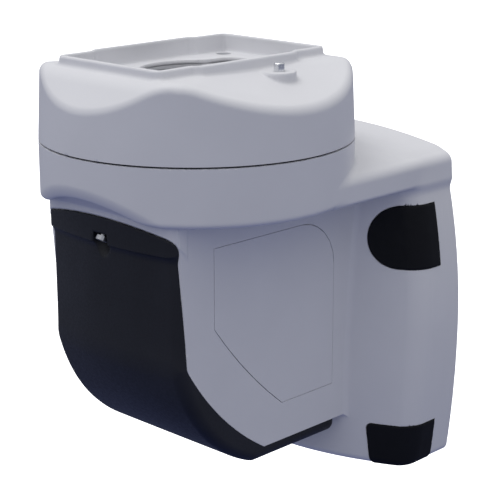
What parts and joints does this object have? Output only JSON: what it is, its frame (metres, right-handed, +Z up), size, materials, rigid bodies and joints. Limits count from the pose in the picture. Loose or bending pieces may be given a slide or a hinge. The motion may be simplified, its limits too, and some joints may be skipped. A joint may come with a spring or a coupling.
{
  "type": "resin wash station",
  "caption": "Wall-held wash station with a round drum head, hinged lid with a deep platform recess, stirred tank, lift-out basket and start button.",
  "frame": {"origin": "centre of the wall bracket's rear face, which lies on the wall", "axes": "+Z up, the longest extent; +Y into the wall, so the drum stands out towards -Y; +X to the right of a person who faces the front"},
  "size_m": [0.2478, 0.286, 0.3362],
  "materials": {
    "white_plastic": "satin white moulded plastic",
    "dark_plastic": "dark charcoal moulded plastic with a fine leather-like texture",
    "black_rubber": "smooth matt black rubber",
    "stainless_steel": "bright stainless steel",
    "zinc_plated_steel": "zinc-plated steel",
    "tank_plastic": "pale grey polypropylene",
    "impeller_plastic": "blue polypropylene",
    "circuit_board": "green solder mask",
    "black_plastic": "black plastic"
  },
  "bodies": {
    "housing": {"housing": "white_plastic", "front_cover": "dark_plastic", "cover_screw": "zinc_plated_steel", "keel_screw_left": "zinc_plated_steel", "keel_screw_right": "zinc_plated_steel", "side_cover_left": "white_plastic", "side_cover_right": "white_plastic", "pad_upper_left": "black_rubber", "pad_upper_right": "black_rubber", "pad_lower_left": "black_rubber", "pad_lower_right": "black_rubber", "lid_seal": "black_rubber", "hinge_pin": "stainless_steel", "wash_tank": "tank_plastic", "tank_well": "tank_plastic", "impeller_axle": "stainless_steel", "impeller_guard": "tank_plastic", "motor": "black_plastic", "motor_bracket": "zinc_plated_steel", "motor_bracket_screw_left": "zinc_plated_steel", "motor_bracket_screw_right": "zinc_plated_steel", "motor_screw_left": "zinc_plated_steel", "motor_screw_right": "zinc_plated_steel", "control_board": "circuit_board", "power_inlet": "black_plastic", "back_cover": "white_plastic", "wall_bracket": "zinc_plated_steel", "board_screw_1": "zinc_plated_steel", "board_screw_2": "zinc_plated_steel", "board_screw_3": "zinc_plated_steel", "board_screw_4": "zinc_plated_steel", "back_cover_screw_1": "zinc_plated_steel", "back_cover_screw_2": "zinc_plated_steel", "back_cover_screw_3": "zinc_plated_steel", "back_cover_screw_4": "zinc_plated_steel", "bracket_screw_1": "zinc_plated_steel", "bracket_screw_2": "zinc_plated_steel", "bracket_screw_3": "zinc_plated_steel", "bracket_screw_4": "zinc_plated_steel"},
    "lid": {"lid": "white_plastic", "splash_guard": "white_plastic", "switch_plate": "zinc_plated_steel", "start_switch": "black_plastic", "switch_screw_front": "zinc_plated_steel", "switch_screw_rear": "zinc_plated_steel", "button_spring": "stainless_steel", "frame_screw_1": "zinc_plated_steel", "frame_screw_2": "zinc_plated_steel", "frame_screw_3": "zinc_plated_steel", "frame_screw_4": "zinc_plated_steel"},
    "button": {"start_button": "stainless_steel"},
    "basket": {"basket": "stainless_steel"},
    "basket_handle": {"basket_handle": "stainless_steel"},
    "rotor": {"magnet_rotor": "zinc_plated_steel", "motor_shaft": "stainless_steel"},
    "impeller": {"impeller": "impeller_plastic"}
  },
  "joints": [
    {"name": "lid_hinge", "type": "hinge", "parent": "housing", "child": "lid", "pos_m": [0, -0.044, 0.144], "axis": [-1, 0, 0], "range_deg": [0, 68]},
    {"name": "button_press", "type": "slide", "parent": "lid", "child": "button", "axis": [0, 0, -1], "range_m": [0, 0.002], "stiffness_N_per_m": 400, "springref_m": -0.002, "deforming": ["button_spring"]},
    {"name": "basket_lift", "type": "slide", "parent": "housing", "child": "basket", "axis": [0, 0, 1], "range_m": [0, 0.2273]},
    {"name": "handle_fold", "type": "hinge", "parent": "basket", "child": "basket_handle", "pos_m": [0, -0.168, 0.101], "axis": [-1, 0, 0], "range_deg": [0, 90]},
    {"name": "rotor_spin", "type": "hinge", "parent": "housing", "child": "rotor", "pos_m": [0, -0.168, -0.0415], "axis": [0, 0, 1], "continuous": true},
    {"name": "impeller_spin", "type": "hinge", "parent": "housing", "child": "impeller", "pos_m": [0, -0.168, -0.0285], "axis": [0, 0, 1], "continuous": true}
  ],
  "couplings": [
    {"joint": "impeller_spin", "follows": "rotor_spin", "ratio": 1}
  ]
}
